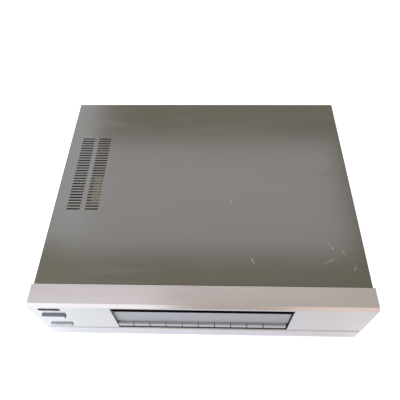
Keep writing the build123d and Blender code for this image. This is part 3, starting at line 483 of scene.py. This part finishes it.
def add_key_legends():
    """Short printed dashes on the upper face of each narrow key."""
    rng = random.Random(LEGEND_SEED)
    for number in range(1, NARROW_KEYS + 1):
        low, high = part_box(f"key_{number}")
        near, far = (low.y + inset for inset in DASH_FROM_FRONT)
        bottom, top = high.z - DASH_BURIED, high.z + DASH_RAISED
        boxes = []
        x = (low.x + high.x) / 2 - DASHES_BEFORE_MIDDLE
        for width in rng.sample(DASH_WIDTHS_MM, DASHES_PER_KEY):
            boxes.append(((x, near, bottom), (x + width * MM, far, top)))
            x += (width + DASH_GAP_MM) * MM
        plates(f"legend_key_{number}", boxes, PRINT_GREY, f"key_{number}", bevel=0.01)


def frame_bars(x_span, z_span, near, far, line=0.5 * MM):
    """Four thin bars round a rectangle on the rear panel."""
    left, right = x_span
    low, high = z_span
    return [
        ((left, near, low), (right, far, low + line)),
        ((left, near, high - line), (right, far, high)),
        ((left, near, low + line), (left + line, far, high - line)),
        ((right - line, near, low + line), (right, far, high - line)),
    ]


REAR_GROUPS = (
    # piece and the margin of its outline in millimetres
    ("terminal_block", 4.0),
    ("phono_plate", 3.5),
    ("aerial_socket", 5.0),
    ("mains_inlet", 4.0),
)
PRINT_BURIED = 0.03 * MM
PRINT_RAISED = 0.06 * MM
TALLY_PITCH = 1.4 * MM
TALLY_HALF = 0.3 * MM  # half of a mark's width
TALLY_HEIGHT = 3.0 * MM
TALLY_ABOVE_BLOCK = 6.2 * MM


def add_rear_print():
    """White outlines round each group of rear fittings, and tally marks that number the levers."""
    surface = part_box("rear_panel")[1].y
    near, far = surface - PRINT_BURIED, surface + PRINT_RAISED
    boxes = []
    for group, margin in REAR_GROUPS:
        low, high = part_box(group)
        gap = margin * MM
        boxes += frame_bars((low.x - gap, high.x + gap), (low.z - gap, high.z + gap), near, far)
    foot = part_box("terminal_block")[1].z + TALLY_ABOVE_BLOCK
    for number in range(1, LEVERS + 1):
        low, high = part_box(f"lever_{number}")
        middle = (low.x + high.x) / 2
        for step in range(number):
            x = middle + (step - (number - 1) / 2) * TALLY_PITCH
            boxes.append(((x - TALLY_HALF, near, foot), (x + TALLY_HALF, far, foot + TALLY_HEIGHT)))
    plates("rear_print", boxes, PRINT_WHITE, "chassis", bevel=0.01)


# ---------------------------------------------------------------- stage, light and camera
FLOOR_HALF = 6.0
FLOOR_TONES = ((0.92, 0.92, 0.92), (0.94, 0.94, 0.94))
GLOW_TONE = (0.876, 0.829, 1.0)
GLOW_AHEAD = 0.23  # strength ahead of the face
GLOW_BEHIND = 0.6  # strength beside and behind the case, where its shadow would fall
GLOW_RISE = (-0.06, 0.05)  # where the strength changes, from the face backwards


def add_floor():
    """Pale paper with a faint glow of its own, so that it stays white round the case."""
    mesh = bmesh.new()
    bmesh.ops.create_grid(mesh, x_segments=8, y_segments=8, size=FLOOR_HALF)
    data = bpy.data.meshes.new("floor")
    mesh.to_mesh(data)
    mesh.free()
    floor = bpy.data.objects.new("floor", data)
    bpy.context.scene.collection.objects.link(floor)
    paper = Shader("floor_paper", (0.93, 0.93, 0.93), roughness=0.9)
    paper.color(paper.mix(paper.noise(300.0, detail=2.0), *FLOOR_TONES))
    paper.feed(paper.bsdf.inputs["Emission Color"], GLOW_TONE)
    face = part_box("front_fascia")[0].y
    rise_start, rise_end = (face + step for step in GLOW_RISE)
    glow = paper.span(paper.axis("Y"), rise_start, rise_end, GLOW_AHEAD, GLOW_BEHIND)
    paper.feed(paper.bsdf.inputs["Emission Strength"], glow)
    data.materials.append(paper.done())


SKY_TONE = (1.0, 0.914, 0.791)
SKY_STRENGTH = 0.91
SOFTBOXES = (
    # name, place, point aimed at, width and height, power in watts, colour
    ("window_left", (-0.75, -1.65, 0.62), (-0.75, 0.0, 0.2), (1.1, 0.6), 3.1, (0.90, 0.94, 1.0)),
    ("warm_right", (0.75, -1.65, 0.62), (0.75, 0.0, 0.2), (0.7, 0.6), 1.1, (1.0, 0.77, 0.64)),
    ("key_left", (-0.72, -0.55, 0.55), (-0.18, -0.22, 0.0), (0.5, 0.5), 7.5, (0.66, 0.90, 1.0)),
    ("ceiling", (0.0, 1.125, 1.72), (0.0, 1.124, 0.0), (1.66, 0.85), 7.8, (0.83, 0.84, 1.0)),
    ("ceiling_left", (-1.2, 1.77, 1.72), (-1.2, 1.769, 0.0), (0.8, 2.0), 10.5, (0.80, 0.86, 1.0)),
    ("strip_left", (-0.92, 0.15, 1.72), (-0.92, 0.149, 0.0), (1.35, 0.7), 2.0, (0.85, 0.9, 1.0)),
)


def add_softbox(name, spot, aim, size, power, color):
    """Rectangular area light at a spot, turned to face a point."""
    light = bpy.data.lights.new(name, "AREA")
    light.shape = "RECTANGLE"
    light.size, light.size_y = size
    light.energy = power
    light.color = color
    lamp = bpy.data.objects.new(name, light)
    lamp.location = spot
    lamp.rotation_mode = "QUATERNION"
    lamp.rotation_quaternion = (Vector(aim) - Vector(spot)).to_track_quat("-Z", "Y")
    bpy.context.scene.collection.objects.link(lamp)


def add_lights():
    """Even sky light with soft lights at the front, at the left and over the cover."""
    world = bpy.data.worlds.new("studio")
    world.use_nodes = True
    background = world.node_tree.nodes["Background"]
    background.inputs["Color"].default_value = (*SKY_TONE, 1.0)
    background.inputs["Strength"].default_value = SKY_STRENGTH
    bpy.context.scene.world = world
    for softbox in SOFTBOXES:
        add_softbox(*softbox)


# The camera's place, from the middle of the cover's upper front edge, and its angles in radians.
CAMERA_RIGHT = 0.012
CAMERA_AHEAD = 0.2059
CAMERA_ABOVE = 0.4913
CAMERA_TURN = 0.0495
CAMERA_DOWN = 0.9694
CAMERA_ROLL = -0.0338
SENSOR_WIDTH = 36.0
FOCAL_WIDTHS = 1.0311  # focal length, in widths of the sensor


def add_camera():
    """Camera above and ahead of the front edge of the cover, looking down at the whole top."""
    cover_low, cover_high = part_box("top_cover")
    spot = Vector((CAMERA_RIGHT, cover_low.y - CAMERA_AHEAD, cover_high.z + CAMERA_ABOVE))
    look = Vector((
        -math.sin(CAMERA_TURN) * math.cos(CAMERA_DOWN),
        math.cos(CAMERA_TURN) * math.cos(CAMERA_DOWN),
        -math.sin(CAMERA_DOWN),
    ))
    right = look.cross(Vector((0.0, 0.0, 1.0))).normalized()
    up = right.cross(look)
    rolled_right = right * math.cos(CAMERA_ROLL) + up * math.sin(CAMERA_ROLL)
    rolled_up = up * math.cos(CAMERA_ROLL) - right * math.sin(CAMERA_ROLL)
    camera = bpy.data.objects.new("camera", bpy.data.cameras.new("camera"))
    camera.data.sensor_width = SENSOR_WIDTH
    camera.data.lens = FOCAL_WIDTHS * SENSOR_WIDTH
    axes = Matrix((rolled_right, rolled_up, -look)).transposed()
    camera.matrix_world = Matrix.Translation(spot) @ axes.to_4x4()
    bpy.context.scene.collection.objects.link(camera)
    bpy.context.scene.camera = camera


# ---------------------------------------------------------------- building the scene
dress_nodes()
add_badge()
add_key_legends()
add_rear_print()
add_floor()
add_lights()
add_camera()
bpy.context.scene.view_settings.view_transform = "Standard"
